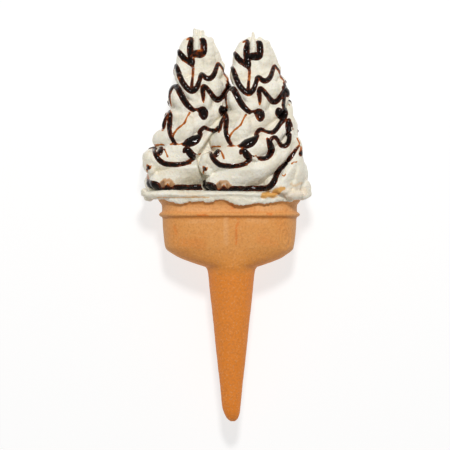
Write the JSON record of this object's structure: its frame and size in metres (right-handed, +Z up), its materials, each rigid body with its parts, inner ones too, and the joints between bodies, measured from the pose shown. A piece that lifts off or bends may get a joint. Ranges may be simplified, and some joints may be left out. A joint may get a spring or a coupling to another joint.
{
  "type": "ice cream cone",
  "caption": "Twin wafer cone with side-by-side cups on a tapered stem, filled with piped swirls of cream and drizzled with chocolate sauce.",
  "frame": {"origin": "Point on the resting surface under the middle of the part's box.", "axes": "+X across the cone from one cup to the other, +Y from the stem's tip to the swirls' tips, +Z up out of the shown side while the cone lies on its back."},
  "size_m": [0.111, 0.2552, 0.059],
  "materials": {
    "wafer": "matt baked wafer",
    "cream": "soft satin cream",
    "sauce": "glossy chocolate sauce"
  },
  "bodies": {
    "root": {"wafer_cone": "wafer", "ice_cream": "cream"}
  },
  "joints": []
}
